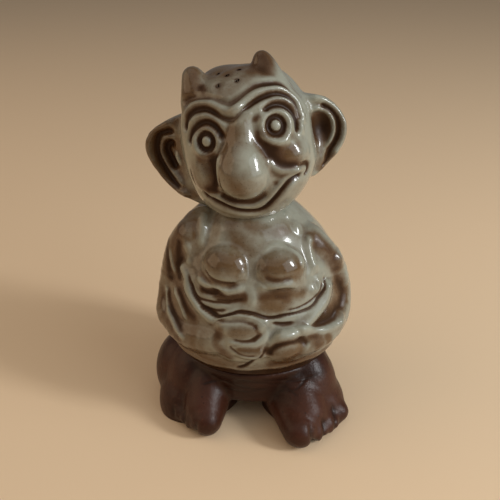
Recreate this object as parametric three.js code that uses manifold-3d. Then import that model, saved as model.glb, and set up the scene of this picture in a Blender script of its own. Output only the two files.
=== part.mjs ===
// Stoneware troll figurine, hollow and pierced at the crown as a table shaker.
// The clay pieces are cast or rolled apart, luted together with slip, glazed and fired; a soft stopper
// closes the filling hole under the hips.
// Millimetres and degrees, +Z up. The soles stand on Z = 0, the figure faces -Y, and left and right are its own,
// so its right side is at -X.

import * as THREE from "three";
import { mergeVertices } from "three/addons/utils/BufferGeometryUtils.js";
import Module from "manifold-3d";

const wasm = await Module();
wasm.setup();

// Clay
const WALL = 4; // cast shells
const SLIP_JOINT = 0.3; // layer of slip between two luted pieces
const GLAZE_LIP = 0.8; // the glazed belly stands this far outside the bare hips

// Hips
const ARCH_HEIGHT = 9; // table to the underside of the hips
const HIP_HEIGHT = 11;
const HIP_WIDTH = 45;
const HIP_DEPTH = 41;
const HIP_TAPER = 2.5; // the hips draw in this far towards their underside
const HIP_FLOOR = 4;

// Filling hole and stopper
const FILL_HOLE_DIAMETER = 14;
const STOPPER_CLEARANCE = 0.2;
const STOPPER_PLUG_LENGTH = 8;
const STOPPER_FLANGE_WIDTH = 17;
const STOPPER_FLANGE_THICKNESS = 1.8;
const STOPPER_TAPER = 1; // the plug's tip is this much narrower than its root
const STOPPER_WELL_CLEARANCE = 1; // the feet keep this far from the stopper's way out

// Feet
const FOOT_LENGTH = 32; // heel to the front of the instep
const FOOT_WIDTH = 24;
const FOOT_HEIGHT = 18;
const RIGHT_FOOT_SPREAD = 16.5; // middle of the figure to the middle of the foot
const LEFT_FOOT_SPREAD = 14.5;
const RIGHT_FOOT_ADVANCE = 3; // middle of the foot ahead of the body's axis
const LEFT_FOOT_ADVANCE = 7;
const TOE_OUT = 34;
const ANKLE_WIDTH = 22;
const ANKLE_DEPTH = 26;
const ANKLE_INWARD = 1; // the ankle leans this far towards the figure's middle
const TOE_WIDTHS = [9.8, 6.4, 6.2, 6.4]; // big toe first
const TOE_ASIDES = [-12, -6.6, -1.6, 3.8]; // toe tips' middles from the foot's own middle line, outwards
const TOE_REACHES = [14.1, 14.6, 13.4, 10.7]; // toe tips' middles ahead of the foot's middle
const LEFT_TOE_STRETCH = 1.7; // the left toes reach this much further
const TOE_SWELL = 0.5; // a toe is this share thicker at its root
const RIGHT_LEG_WIDTH = 25; // the right leg swells outwards above the heel
const RIGHT_LEG_HEIGHT = 21;
const RIGHT_LEG_ASIDE = 20; // from the body's axis
const RIGHT_LEG_AHEAD = 1;

// Torso
const TORSO_HEIGHT = 45;
const BELLY_WIDTH = 54;
const BELLY_RISE = 14; // height above the torso's lower edge
const CHEST_WIDTH = 48;
const CHEST_RISE = 29;
const SHOULDER_WIDTH = 39;
const SHOULDER_RISE = 38;
const COLLAR_WIDTH = 32.6;
const COLLAR_RISE = 42.6;
const NECK_WIDTH = 25;
const TORSO_FLATNESS = 0.89; // depth over width of every level
const NECK_ASIDE = -3.5; // the torso bends towards the figure's right below the neck
const BEND_RISE = 32; // where the bend starts
const BELLY_FOLD_THICKNESS = 4.4; // a fold of flesh from each side to the front
const BELLY_FOLD_SINK = 1.1; // its middle line inside the torso's surface

// Chest and arms
const PECTORAL_WIDTH = 13;
const PECTORAL_BULGE = 3.4;
const PECTORAL_AZIMUTH = 23;
const PECTORAL_RISE = 33.5;
const ARM_THICKNESS = 10.6;
const ARM_SINK = 2.8; // the arm's middle line inside the torso's surface
const ARM_MUSCLE = 0.08; // share by which the arm swells and narrows
const RAISED_SHOULDER_WIDTH = 14; // the right shoulder is hunched
const RAISED_SHOULDER_STAND = 2.4; // off the torso
const SHOULDER_HUNCH = 1.8; // how far the right arm stands out further there
const SHOULDER_AZIMUTH = 66; // the arm's way down from the shoulder, degrees from the front
const UPPER_ARM_AZIMUTH = 79;
const ELBOW_AZIMUTH = 84;
const ELBOW_RISE = 18;
const FOREARM_AZIMUTH = 66;
const FOREARM_RISE = 10.5;
const RIGHT_HAND_AZIMUTH = 24; // degrees from the front to the palm
const RIGHT_HAND_RISE = 14;
const WRIST_DROP = 2; // the arm's end below the middle of the hand
const LEFT_HAND_AZIMUTH = 38;
const LEFT_HAND_RISE = 11;
const HAND_WIDTH = 11.5;
const HAND_LENGTH = 13;
const HAND_BULGE = 2.4;
const FINGER_COUNT = 2;
const FINGER_THICKNESS = 6.4;
const FINGER_SINK = 0.3;
const FINGER_REACH = 29; // degrees round the belly from the palm to the finger tips

// Head
const HEAD_WIDTH = 35.5;
const HEAD_DEPTH = 34;
const HEAD_HEIGHT = 40.5;
const SKULL_FULLNESS = 2.5; // 2 is an ellipsoid, more is squarer at the crown and the jaw
const HEAD_SINK = 2; // the head settles this far over the neck
const HEAD_FORWARD = 2;
const HEAD_ASIDE = -1.6; // towards the figure's right
const HEAD_TURN = -3; // towards the figure's right
const HEAD_LEAN = -13; // crown towards the figure's right
const HEAD_TIP_BACK = -8; // face upwards
const POUR_HOLE_DIAMETER = 1.2;
const POUR_HOLE_PITCH = 3.7; // middle hole to each outer hole
const POUR_HOLES_OUTER = 4;
const POUR_HOLES_FORWARD = 8; // middle hole in front of the crown's top

// Ears and horns
const RIGHT_EAR_REACH = 12.5; // how far an ear stands out from the head
const LEFT_EAR_REACH = 10;
const RIGHT_EAR_HEIGHT = 25;
const LEFT_EAR_HEIGHT = 22.5;
const EAR_DROP = 1.4; // middle of the ear below the middle of the head
const EAR_BACK = 2.2; // and behind it
const EAR_THICKNESS = 6.2;
const EAR_DISH = 2.2; // depth of the hollow
const EAR_RIM = 2; // edge left round the hollow
const EAR_ROLL_THICKNESS = 3.8; // the rolled edge
const EAR_SWEEP = 18; // outer edge turned back
const EAR_SLANT = 14; // lower end turned in
const EAR_FOLD_THICKNESS = 2.4;
const HORN_HEIGHT = 5;
const HORN_WIDTH = 9.8;
const HORN_TIP_WIDTH = 4.8;
const HORN_ROOT = 4; // length inside the skull line
const HORN_AZIMUTH = 58;
const HORN_ELEVATION = 50;
const HORN_LEAN = 0.25; // 0 stands a horn straight up, 1 square to the skull

// Face
const NOSE_WIDTH = 12.5;
const NOSE_HEIGHT = 13.5;
const NOSE_STAND = 5.5; // tip in front of the face
const NOSE_ELEVATION = -12;
const NOSE_BRIDGE_WIDTH = 8;
const NOSE_BRIDGE_LENGTH = 14;
const NOSE_BRIDGE_STAND = 3;
const NOSE_BRIDGE_ELEVATION = 8;
const EYE_WIDTH = 8;
const EYE_STAND = 1.6;
const EYE_MOAT = 1.2; // depth of the ring round the pupil
const PUPIL_WIDTH = 2.6;
const EYE_RIM = 1.3; // width of the eye's outer ring
const EYE_AZIMUTH = 31;
const EYE_ELEVATION = 15;
const BROW_THICKNESS = 2.8;
const BROW_GAP = 1; // between the eye's ring and the brow
const CHEEK_WIDTH = 10;
const CHEEK_HEIGHT = 10;
const CHEEK_BULGE = 2;
const CHEEK_AZIMUTH = 38;
const CHEEK_ELEVATION = -13;
const FOLD_THICKNESS = 2.2; // wrinkle across the forehead
const LIP_THICKNESS = 2.8;

// Facets
const BALL_SIDES = 16;
const SHELL_SIDES = 32;
const SHELL_RINGS = 14;
const ROLL_SIDES = 8;
const ROLL_STEPS = 12;
const HOLE_SIDES = 8;
const PLUG_SIDES = 24;
const CUTTER = 300; // longer than the figure

// Levels that follow from the sizes above
const HIP_TOP = ARCH_HEIGHT + HIP_HEIGHT;
const TORSO_FOOT = HIP_TOP + SLIP_JOINT;
const TORSO_TOP = TORSO_FOOT + TORSO_HEIGHT;
const SKULL_MIDDLE = TORSO_TOP - HEAD_SINK + HEAD_HEIGHT / 2;
const RIGHT = -1;
const LEFT = 1;
const SIDES = { right: RIGHT, left: LEFT };
const UP = new THREE.Vector3(0, 0, 1);
const radians = THREE.MathUtils.degToRad;

const glaze = new THREE.MeshStandardMaterial({ color: 0x8f887a, roughness: 0.2 });
const bareClay = new THREE.MeshStandardMaterial({ color: 0x432c25, roughness: 0.55 });
const softPlug = new THREE.MeshStandardMaterial({ color: 0xb9b2a2, roughness: 0.7 });

// Solids

function solidOf(geometry) {
  const bare = geometry.index ? geometry.toNonIndexed() : geometry.clone();
  bare.deleteAttribute("normal");
  bare.deleteAttribute("uv");
  const merged = mergeVertices(bare, 1e-4);
  return new wasm.Manifold(
    new wasm.Mesh({
      numProp: 3,
      vertProperties: merged.attributes.position.array,
      triVerts: new Uint32Array(merged.index.array),
    }),
  );
}

function geometryOf(solid) {
  const mesh = solid.getMesh();
  const geometry = new THREE.BufferGeometry();
  geometry.setAttribute("position", new THREE.BufferAttribute(mesh.vertProperties, 3));
  geometry.setIndex(new THREE.BufferAttribute(mesh.triVerts, 1));
  geometry.computeVertexNormals();
  return geometry;
}

const joined = (solids) => solids.reduce((all, next) => all.add(next));
const cutBy = (solid, cutters) => cutters.reduce((left, cutter) => left.subtract(cutter), solid);

// A lump of clay: an ellipsoid of the given width, depth and height, turned about its middle and put in place.
function lump(size, middle, turn = new THREE.Quaternion()) {
  const geometry = new THREE.SphereGeometry(0.5, BALL_SIDES, BALL_SIDES / 2).rotateX(Math.PI / 2);
  geometry.scale(size.x, size.y, size.z).applyQuaternion(turn);
  return solidOf(geometry.translate(middle.x, middle.y, middle.z));
}

// A roll of clay along a smooth line through the points, with round ends; swell(t) scales its thickness.
function roll(points, thickness, swell = () => 1) {
  const line = new THREE.CatmullRomCurve3(points);
  const frames = line.computeFrenetFrames(ROLL_STEPS, false);
  const bluntness = thickness / 2 / line.getLength();
  const roundEnd = (t) => Math.sqrt(1 - Math.max(0, 1 - Math.min(t, 1 - t) / bluntness) ** 2);
  const profile = [];
  for (let step = 0; step <= ROLL_STEPS; step++) {
    const t = (1 - Math.cos((Math.PI * step) / ROLL_STEPS)) / 2;
    const isEnd = step === 0 || step === ROLL_STEPS;
    profile.push(new THREE.Vector2(isEnd ? 0 : (thickness / 2) * roundEnd(t) * swell(t), t));
  }
  const geometry = new THREE.LatheGeometry(profile, ROLL_SIDES);
  const place = geometry.getAttribute("position");
  for (let i = 0; i < place.count; i++) {
    const t = place.getY(i);
    const nearest = Math.round(t * ROLL_STEPS);
    const point = line.getPointAt(t);
    point.addScaledVector(frames.binormals[nearest], place.getX(i));
    point.addScaledVector(frames.normals[nearest], place.getZ(i));
    place.setXYZ(i, point.x, point.y, point.z);
  }
  return solidOf(geometry);
}

// A solid turned about Z from an outline of (radius, height) points, flattened front to back.
function turned(outline, flatness = 1, sides = SHELL_SIDES) {
  const geometry = new THREE.LatheGeometry(outline, sides).rotateX(Math.PI / 2);
  return solidOf(geometry.scale(1, flatness, 1));
}

function upright(diameter, low, high, sides) {
  const radius = diameter / 2;
  const corners = [[0, low], [radius, low], [radius, high], [0, high]];
  return turned(corners.map(([r, z]) => new THREE.Vector2(r, z)), 1, sides);
}

const belowTable = solidOf(new THREE.BoxGeometry(CUTTER, CUTTER, CUTTER).translate(0, 0, -CUTTER / 2));

// Hips: a bare ring with a floor, pierced for filling

const hipFlatness = HIP_DEPTH / HIP_WIDTH;

function hipForm(grow, low, high) {
  const top = HIP_WIDTH / 2 + grow;
  const foot = top - HIP_TAPER;
  const corners = [[0, low], [foot, low], [top, high], [0, high]];
  return turned(corners.map(([r, z]) => new THREE.Vector2(r, z)), hipFlatness);
}

function hipRing() {
  const hollow = hipForm(-WALL, ARCH_HEIGHT + HIP_FLOOR, CUTTER);
  const hole = upright(FILL_HOLE_DIAMETER, -CUTTER, CUTTER, PLUG_SIDES);
  return cutBy(hipForm(0, ARCH_HEIGHT, HIP_TOP), [hollow, hole]);
}

// Stopper: a tapered soft plug with a flange under the floor

function stopper() {
  const seat = ARCH_HEIGHT - SLIP_JOINT;
  const bottom = seat - STOPPER_FLANGE_THICKNESS;
  const root = FILL_HOLE_DIAMETER / 2 - STOPPER_CLEARANCE;
  const flange = STOPPER_FLANGE_WIDTH / 2;
  const tip = seat + STOPPER_PLUG_LENGTH;
  const outline = [[0, bottom], [flange, bottom], [flange, seat], [root, seat], [root - STOPPER_TAPER, tip], [0, tip]];
  return turned(outline.map(([r, z]) => new THREE.Vector2(r, z)), 1, PLUG_SIDES);
}

// Torso: a cast shell, open at the hips and at the neck

const torsoOutline = new THREE.SplineCurve(
  [
    [HIP_WIDTH / 2 + GLAZE_LIP, 0],
    [BELLY_WIDTH / 2, BELLY_RISE],
    [CHEST_WIDTH / 2, CHEST_RISE],
    [SHOULDER_WIDTH / 2, SHOULDER_RISE],
    [COLLAR_WIDTH / 2, COLLAR_RISE],
    [NECK_WIDTH / 2, TORSO_HEIGHT],
  ].map(([r, rise]) => new THREE.Vector2(r, TORSO_FOOT + rise)),
);

// How far the torso's middle has bent aside at a height.
function bendAt(height) {
  const part = Math.max(0, (height - TORSO_FOOT - BEND_RISE) / (TORSO_HEIGHT - BEND_RISE));
  return NECK_ASIDE * part ** 1.5;
}

function bent(solid) {
  return solid.warp((place) => {
    place[0] += bendAt(place[2]);
  });
}

// The outline pushed out square to itself, closed to the axis at both ends.
function torsoForm(grow, overrun = 0) {
  const outline = [];
  for (let step = 0; step <= SHELL_RINGS; step++) {
    const point = torsoOutline.getPointAt(step / SHELL_RINGS);
    const along = torsoOutline.getTangentAt(step / SHELL_RINGS);
    outline.push(new THREE.Vector2(point.x + along.y * grow, point.y - along.x * grow));
  }
  outline[0].y = TORSO_FOOT - overrun;
  outline[SHELL_RINGS].set(NECK_WIDTH / 2 + grow, TORSO_TOP + overrun);
  outline.unshift(new THREE.Vector2(0, outline[0].y));
  outline.push(new THREE.Vector2(0, TORSO_TOP + overrun));
  return bent(turned(outline, TORSO_FLATNESS));
}

// A point on the torso: azimuth from the front towards the left, rise above its lower edge, lift off its surface.
function onTorso(azimuth, rise, lift = 0) {
  const height = TORSO_FOOT + rise;
  const samples = torsoOutline.getSpacedPoints(SHELL_RINGS * 4);
  const radius = samples.reduce((a, b) => (Math.abs(b.y - height) < Math.abs(a.y - height) ? b : a)).x + lift;
  const angle = radians(azimuth);
  const aside = radius * Math.sin(angle) + bendAt(height);
  return new THREE.Vector3(aside, -radius * Math.cos(angle) * TORSO_FLATNESS, height);
}

// The way straight out of the torso there.
function outOfTorso(azimuth, rise) {
  const upwards = onTorso(azimuth, rise + 3).sub(onTorso(azimuth, rise - 3));
  const leftwards = onTorso(azimuth + 3, rise).sub(onTorso(azimuth - 3, rise));
  return leftwards.cross(upwards).normalize();
}

const faceOut = (out) => new THREE.Quaternion().setFromUnitVectors(new THREE.Vector3(0, -1, 0), out);
const BELLY_FOLDS = [
  [[-60, CHEST_RISE + 2], [-47, CHEST_RISE - 4.5], [-30, BELLY_RISE + 5.5], [-11, BELLY_RISE + 7.5]],
  [[58, CHEST_RISE - 1], [50, CHEST_RISE - 7], [36, BELLY_RISE + 4], [16, BELLY_RISE + 3]],
];

function bellyFolds(grow) {
  return joined(
    BELLY_FOLDS.map((stops) => {
      const line = stops.map(([azimuth, rise]) => onTorso(azimuth, rise, -BELLY_FOLD_SINK));
      return roll(line, BELLY_FOLD_THICKNESS + 2 * grow);
    }),
  );
}

const torsoSkin = torsoForm(0).add(bellyFolds(0));
const torsoSeat = torsoForm(SLIP_JOINT, SLIP_JOINT).add(bellyFolds(SLIP_JOINT));
const torsoShell = () => torsoSkin.subtract(torsoForm(-WALL, WALL));

function pectoral(side) {
  const size = new THREE.Vector3(PECTORAL_WIDTH, 2 * PECTORAL_BULGE, PECTORAL_WIDTH);
  const middle = onTorso(side * PECTORAL_AZIMUTH, PECTORAL_RISE);
  const turn = faceOut(outOfTorso(side * PECTORAL_AZIMUTH, PECTORAL_RISE));
  return lump(size, middle, turn).subtract(torsoSeat);
}

// Arms hang from the shoulders, bend at the elbows and lay the hands on the belly.
function arm(side) {
  const handAzimuth = side === RIGHT ? RIGHT_HAND_AZIMUTH : LEFT_HAND_AZIMUTH;
  const handRise = side === RIGHT ? RIGHT_HAND_RISE : LEFT_HAND_RISE;
  const hunch = side === RIGHT ? SHOULDER_HUNCH : 0;
  const line = [
    [SHOULDER_AZIMUTH, SHOULDER_RISE, hunch],
    [UPPER_ARM_AZIMUTH, CHEST_RISE, hunch * 0.6],
    [ELBOW_AZIMUTH, ELBOW_RISE, 0],
    [FOREARM_AZIMUTH, FOREARM_RISE, 0],
    [handAzimuth, handRise - WRIST_DROP, 0],
  ].map(([azimuth, rise, stand]) => onTorso(side * azimuth, rise, stand - ARM_SINK));
  const muscle = (t) => 1 - ARM_MUSCLE * Math.cos(6 * Math.PI * t);
  const limbs = [roll(line, ARM_THICKNESS, muscle)];
  if (side === RIGHT) {
    const lift = RAISED_SHOULDER_STAND - RAISED_SHOULDER_WIDTH / 2;
    const shoulder = onTorso(side * SHOULDER_AZIMUTH, SHOULDER_RISE, lift);
    limbs.push(lump(new THREE.Vector3(1, 1, 1).multiplyScalar(RAISED_SHOULDER_WIDTH), shoulder));
  }
  const palm = lump(
    new THREE.Vector3(HAND_LENGTH, 2 * HAND_BULGE, HAND_WIDTH),
    onTorso(side * handAzimuth, handRise),
    new THREE.Quaternion().setFromAxisAngle(UP, radians(side * handAzimuth)),
  );
  const fingers = [];
  for (let finger = 0; finger < FINGER_COUNT; finger++) {
    const rise = handRise + (finger - (FINGER_COUNT - 1) / 2) * FINGER_THICKNESS;
    const run = [0, 0.5, 1].map((part) =>
      onTorso(side * (handAzimuth - part * FINGER_REACH), rise, -FINGER_SINK),
    );
    fingers.push(roll(run, FINGER_THICKNESS));
  }
  return joined([...limbs, palm, ...fingers]).subtract(torsoSeat);
}

// Feet: broad bare lumps under the hips, flat below, with four toes each

const hipSeat = hipForm(SLIP_JOINT, ARCH_HEIGHT - SLIP_JOINT, HIP_TOP + SLIP_JOINT);
const stopperWell = upright(STOPPER_FLANGE_WIDTH + 2 * STOPPER_WELL_CLEARANCE, -CUTTER, ARCH_HEIGHT, PLUG_SIDES);

function foot(side) {
  const spread = side === RIGHT ? RIGHT_FOOT_SPREAD : LEFT_FOOT_SPREAD;
  const advance = side === RIGHT ? RIGHT_FOOT_ADVANCE : LEFT_FOOT_ADVANCE;
  const instep = lump(new THREE.Vector3(FOOT_WIDTH, FOOT_LENGTH, FOOT_HEIGHT * 1.5), new THREE.Vector3(0, 0, 2));
  const ankle = lump(
    new THREE.Vector3(ANKLE_WIDTH, ANKLE_DEPTH, 2 * (FOOT_HEIGHT - 1)),
    new THREE.Vector3(-side * ANKLE_INWARD, 0, FOOT_HEIGHT * 0.4),
  );
  const stretch = side === RIGHT ? 0 : LEFT_TOE_STRETCH;
  const toes = TOE_WIDTHS.map((width, toe) => {
    const tip = new THREE.Vector3(side * TOE_ASIDES[toe], -TOE_REACHES[toe] - stretch, width / 2);
    const root = new THREE.Vector3(tip.x * 0.4, tip.y * 0.2, width * 0.85);
    const end = tip.clone().sub(root).setLength(width / 2).add(tip);
    return roll([root, end], width, (t) => 1 + TOE_SWELL * (1 - t));
  });
  const stance = new THREE.Matrix4()
    .makeRotationZ(radians(side * TOE_OUT))
    .setPosition(side * spread, -advance, 0);
  const whole = joined([instep, ankle, ...toes]).transform(stance.elements);
  const legSize = new THREE.Vector3(RIGHT_LEG_WIDTH, RIGHT_LEG_WIDTH, RIGHT_LEG_HEIGHT * 1.5);
  const legMiddle = new THREE.Vector3(RIGHT * RIGHT_LEG_ASIDE, -RIGHT_LEG_AHEAD, RIGHT_LEG_HEIGHT / 4);
  const swollen = side === RIGHT ? whole.add(lump(legSize, legMiddle)) : whole;
  return cutBy(swollen, [belowTable, hipSeat, torsoSeat, stopperWell]);
}

// Head: everything below is in the head's own frame, its middle at the origin, facing -Y before it is tilted

const head = new THREE.Group();
head.position.set(HEAD_ASIDE, -HEAD_FORWARD, SKULL_MIDDLE);
head.rotation.set(radians(HEAD_TIP_BACK), radians(HEAD_LEAN), radians(HEAD_TURN), "ZYX");
head.updateMatrix();

// The skull's surface in a given direction, lifted off it, and the way straight out of it there.
function skullSurface(direction, lift) {
  const half = new THREE.Vector3(HEAD_WIDTH, HEAD_DEPTH, HEAD_HEIGHT).divideScalar(2);
  const power = (exponent) => direction.toArray().map((part) => Math.abs(part) ** exponent * Math.sign(part));
  const reach = power(SKULL_FULLNESS).reduce((sum, part) => sum + Math.abs(part), 0) ** (-1 / SKULL_FULLNESS);
  const out = new THREE.Vector3(...power(SKULL_FULLNESS - 1)).divide(half).normalize();
  const point = direction.clone().multiplyScalar(reach).multiply(half).addScaledVector(out, lift);
  return { point, out };
}

function skullForm(grow) {
  const geometry = new THREE.SphereGeometry(1, SHELL_SIDES, SHELL_RINGS).rotateX(Math.PI / 2);
  const place = geometry.getAttribute("position");
  const direction = new THREE.Vector3();
  for (let i = 0; i < place.count; i++) {
    const { point } = skullSurface(direction.fromBufferAttribute(place, i), grow);
    place.setXYZ(i, point.x, point.y, point.z);
  }
  return solidOf(geometry);
}

// The same by azimuth from the face towards the left, and elevation.
function onSkull(azimuth, elevation, lift = 0) {
  const ring = Math.cos(radians(elevation));
  const across = ring * Math.sin(radians(azimuth));
  const ahead = ring * Math.cos(radians(azimuth));
  return skullSurface(new THREE.Vector3(across, -ahead, Math.sin(radians(elevation))), lift);
}

const skullLine = (stops, lift = 0) => stops.map(([azimuth, elevation]) => onSkull(azimuth, elevation, lift).point);
const skullSeat = skullForm(SLIP_JOINT);

function headShell() {
  const intoHead = head.matrix.clone().invert().elements;
  const overNeck = (form) => form.translate([NECK_ASIDE, 0, 0]);
  const neckSeat = overNeck(upright(NECK_WIDTH + 2 * SLIP_JOINT, -CUTTER, TORSO_TOP + SLIP_JOINT, SHELL_SIDES));
  const throat = overNeck(upright(NECK_WIDTH - 2 * WALL, -CUTTER, SKULL_MIDDLE, SHELL_SIDES));
  const holes = [upright(POUR_HOLE_DIAMETER, 0, CUTTER, HOLE_SIDES).translate([0, -POUR_HOLES_FORWARD, 0])];
  for (let hole = 0; hole < POUR_HOLES_OUTER; hole++) {
    const angle = (2 * Math.PI * (hole + 0.5)) / POUR_HOLES_OUTER;
    holes.push(holes[0].translate([POUR_HOLE_PITCH * Math.cos(angle), POUR_HOLE_PITCH * Math.sin(angle), 0]));
  }
  const neckCuts = [neckSeat, throat, torsoSeat].map((cutter) => cutter.transform(intoHead));
  return cutBy(skullForm(0), [skullForm(-WALL), ...neckCuts, ...holes]);
}

// Face pieces, each as a form that can be grown by the slip joint, so that its neighbours are cut to meet it

function nose(grow) {
  const tip = onSkull(0, NOSE_ELEVATION);
  const bridge = onSkull(0, NOSE_BRIDGE_ELEVATION);
  const tipSize = new THREE.Vector3(NOSE_WIDTH, 2 * NOSE_STAND, NOSE_HEIGHT).addScalar(2 * grow);
  const bridgeSize = new THREE.Vector3(NOSE_BRIDGE_WIDTH, 2 * NOSE_BRIDGE_STAND, NOSE_BRIDGE_LENGTH);
  const bridgeLump = lump(bridgeSize.addScalar(2 * grow), bridge.point, faceOut(bridge.out));
  return lump(tipSize, tip.point, faceOut(tip.out)).add(bridgeLump);
}

function eye(side, grow) {
  const { point, out } = onSkull(side * EYE_AZIMUTH, EYE_ELEVATION);
  const rim = EYE_WIDTH / 2 + grow;
  const pupil = PUPIL_WIDTH / 2;
  const stand = EYE_STAND + grow;
  const inner = EYE_WIDTH / 2 - EYE_RIM;
  const outline = [[0, -stand], [rim, -stand], [rim, stand * 0.5], [rim - EYE_RIM / 2, stand], [inner, stand * 0.6]];
  outline.push([inner, stand - EYE_MOAT], [pupil, stand - EYE_MOAT], [pupil, stand * 0.6], [0, stand]);
  const geometry = new THREE.LatheGeometry(outline.map(([r, z]) => new THREE.Vector2(r, z)), BALL_SIDES);
  const turn = new THREE.Quaternion().setFromUnitVectors(new THREE.Vector3(0, 1, 0), out);
  return solidOf(geometry.applyQuaternion(turn).translate(point.x, point.y, point.z));
}

function cheek(side, grow) {
  const { point, out } = onSkull(side * CHEEK_AZIMUTH, CHEEK_ELEVATION);
  const size = new THREE.Vector3(CHEEK_WIDTH, 2 * CHEEK_BULGE, CHEEK_HEIGHT).addScalar(2 * grow);
  return lump(size, point, faceOut(out));
}

// The brow arches over the eye, a fixed distance from its ring.
function brow(side, grow) {
  const eyeSpan = (EYE_WIDTH / 2 + BROW_GAP + BROW_THICKNESS / 2) / (HEAD_DEPTH / 2);
  const stops = [-10, 35, 80, 125, 170, 200].map((turn) => [
    side * (EYE_AZIMUTH - THREE.MathUtils.radToDeg(eyeSpan) * Math.cos(radians(turn)) * 1.15),
    EYE_ELEVATION + THREE.MathUtils.radToDeg(eyeSpan) * Math.sin(radians(turn)),
  ]);
  return roll(skullLine(stops), BROW_THICKNESS + 2 * grow);
}

function foreheadFold(grow) {
  const high = EYE_ELEVATION + 33;
  const stops = [[-58, high - 12], [-34, high], [0, high - 10], [34, high], [58, high - 12]];
  return roll(skullLine(stops), FOLD_THICKNESS + 2 * grow);
}

const SMILE = [[-60, -20], [-34, -34], [0, -42], [34, -34], [60, -20]];
const upperLip = (grow) => roll(skullLine(SMILE), LIP_THICKNESS + 2 * grow);

function lowerLip(grow) {
  const drop = THREE.MathUtils.radToDeg((LIP_THICKNESS + 1) / (HEAD_HEIGHT / 2));
  const stops = SMILE.map(([azimuth, elevation]) => [azimuth * 0.85, elevation - drop]);
  return roll(skullLine(stops), LIP_THICKNESS + 2 * grow);
}

// Ears: dished discs with a fold in the hollow, standing out of the sides of the head
function ear(side, grow) {
  const { point } = onSkull(side * 90, 0);
  point.add(new THREE.Vector3(0, EAR_BACK, -EAR_DROP));
  const reach = side === RIGHT ? RIGHT_EAR_REACH : LEFT_EAR_REACH;
  const height = side === RIGHT ? RIGHT_EAR_HEIGHT : LEFT_EAR_HEIGHT;
  const discSize = new THREE.Vector3(2 * reach, EAR_THICKNESS, height).addScalar(2 * grow);
  const hollowSize = new THREE.Vector3(2 * reach, 2 * EAR_DISH + 2 * EAR_RIM, height);
  const disc = lump(discSize, new THREE.Vector3());
  const hollow = lump(hollowSize.addScalar(-2 * (EAR_RIM + grow)), new THREE.Vector3(0, -EAR_THICKNESS / 2, 0));
  const foldLine = [[0.42, 0.3], [0.62, 0.12], [0.55, -0.1], [0.3, -0.3]].map(
    ([out, up]) => new THREE.Vector3(side * out * reach, -EAR_FOLD_THICKNESS / 4, up * height),
  );
  const fold = roll(foldLine, EAR_FOLD_THICKNESS + 2 * grow);
  const edgeLine = [-84, -56, -28, 0, 28, 56, 84].map((turn) => {
    const out = Math.cos(radians(turn)) * (reach - EAR_ROLL_THICKNESS / 2);
    const up = Math.sin(radians(turn)) * (height - EAR_ROLL_THICKNESS) * 0.5;
    return new THREE.Vector3(side * out, 0, up);
  });
  const edge = roll(edgeLine, EAR_ROLL_THICKNESS + 2 * grow);
  const stance = new THREE.Matrix4()
    .makeRotationFromEuler(new THREE.Euler(0, radians(side * EAR_SLANT), radians(side * EAR_SWEEP)))
    .setPosition(point);
  return joined([disc.subtract(hollow), fold, edge]).transform(stance.elements);
}

function horn(side, grow) {
  const { point, out } = onSkull(side * HORN_AZIMUTH, HORN_ELEVATION, -HORN_ROOT);
  const base = HORN_WIDTH / 2 + grow;
  const tip = HORN_TIP_WIDTH / 2 + grow;
  const height = HORN_HEIGHT + grow;
  const bend = [[base, 0], [(base + tip) / 2, 0.4], [tip, 0.75], [tip * 0.65, 0.94], [0, 1]];
  const outline = [[0, 0], [base, 0], ...bend.map(([radius, part]) => [radius, HORN_ROOT + part * height])];
  const geometry = new THREE.LatheGeometry(outline.map(([r, z]) => new THREE.Vector2(r, z)), BALL_SIDES);
  const axis = UP.clone().lerp(out, HORN_LEAN).normalize();
  const turn = new THREE.Quaternion().setFromUnitVectors(new THREE.Vector3(0, 1, 0), axis);
  return solidOf(geometry.applyQuaternion(turn).translate(point.x, point.y, point.z));
}

// Assembly

const figure = new THREE.Group();

function add(group, name, solid, material) {
  const mesh = new THREE.Mesh(geometryOf(solid), material);
  mesh.name = name;
  group.add(mesh);
}

add(figure, "hip_ring", hipRing(), bareClay);
add(figure, "stopper", stopper(), softPlug);
add(figure, "torso_shell", torsoShell(), glaze);
add(head, "head_shell", headShell(), glaze);
for (const [name, side] of Object.entries(SIDES)) {
  add(figure, `${name}_foot`, foot(side), bareClay);
  add(figure, `${name}_pectoral`, pectoral(side), glaze);
  add(figure, `${name}_arm`, arm(side), glaze);
}

// Sprigs go on in this order, and each is cut to meet the skull and the ones before it.
const sprigs = [
  ["right_ear", (grow) => ear(RIGHT, grow)],
  ["left_ear", (grow) => ear(LEFT, grow)],
  ["right_horn", (grow) => horn(RIGHT, grow)],
  ["left_horn", (grow) => horn(LEFT, grow)],
  ["nose", nose],
  ["right_eye", (grow) => eye(RIGHT, grow)],
  ["left_eye", (grow) => eye(LEFT, grow)],
  ["right_cheek", (grow) => cheek(RIGHT, grow)],
  ["left_cheek", (grow) => cheek(LEFT, grow)],
  ["right_brow", (grow) => brow(RIGHT, grow)],
  ["left_brow", (grow) => brow(LEFT, grow)],
  ["forehead_fold", foreheadFold],
  ["upper_lip", upperLip],
  ["lower_lip", lowerLip],
];
const laid = [skullSeat];
for (const [name, form] of sprigs) {
  add(head, name, cutBy(form(0), laid), glaze);
  laid.push(form(SLIP_JOINT));
}
figure.add(head);

// The origin is on the table, under the middle of the figure's box.
const box = new THREE.Box3().setFromObject(figure, true);
const middle = box.getCenter(new THREE.Vector3());
figure.position.set(-middle.x, -middle.y, 0);

export default figure;
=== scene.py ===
import math

import bmesh
import bpy
import numpy as np
from mathutils import Matrix, Vector
from mathutils.bvhtree import BVHTree


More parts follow.
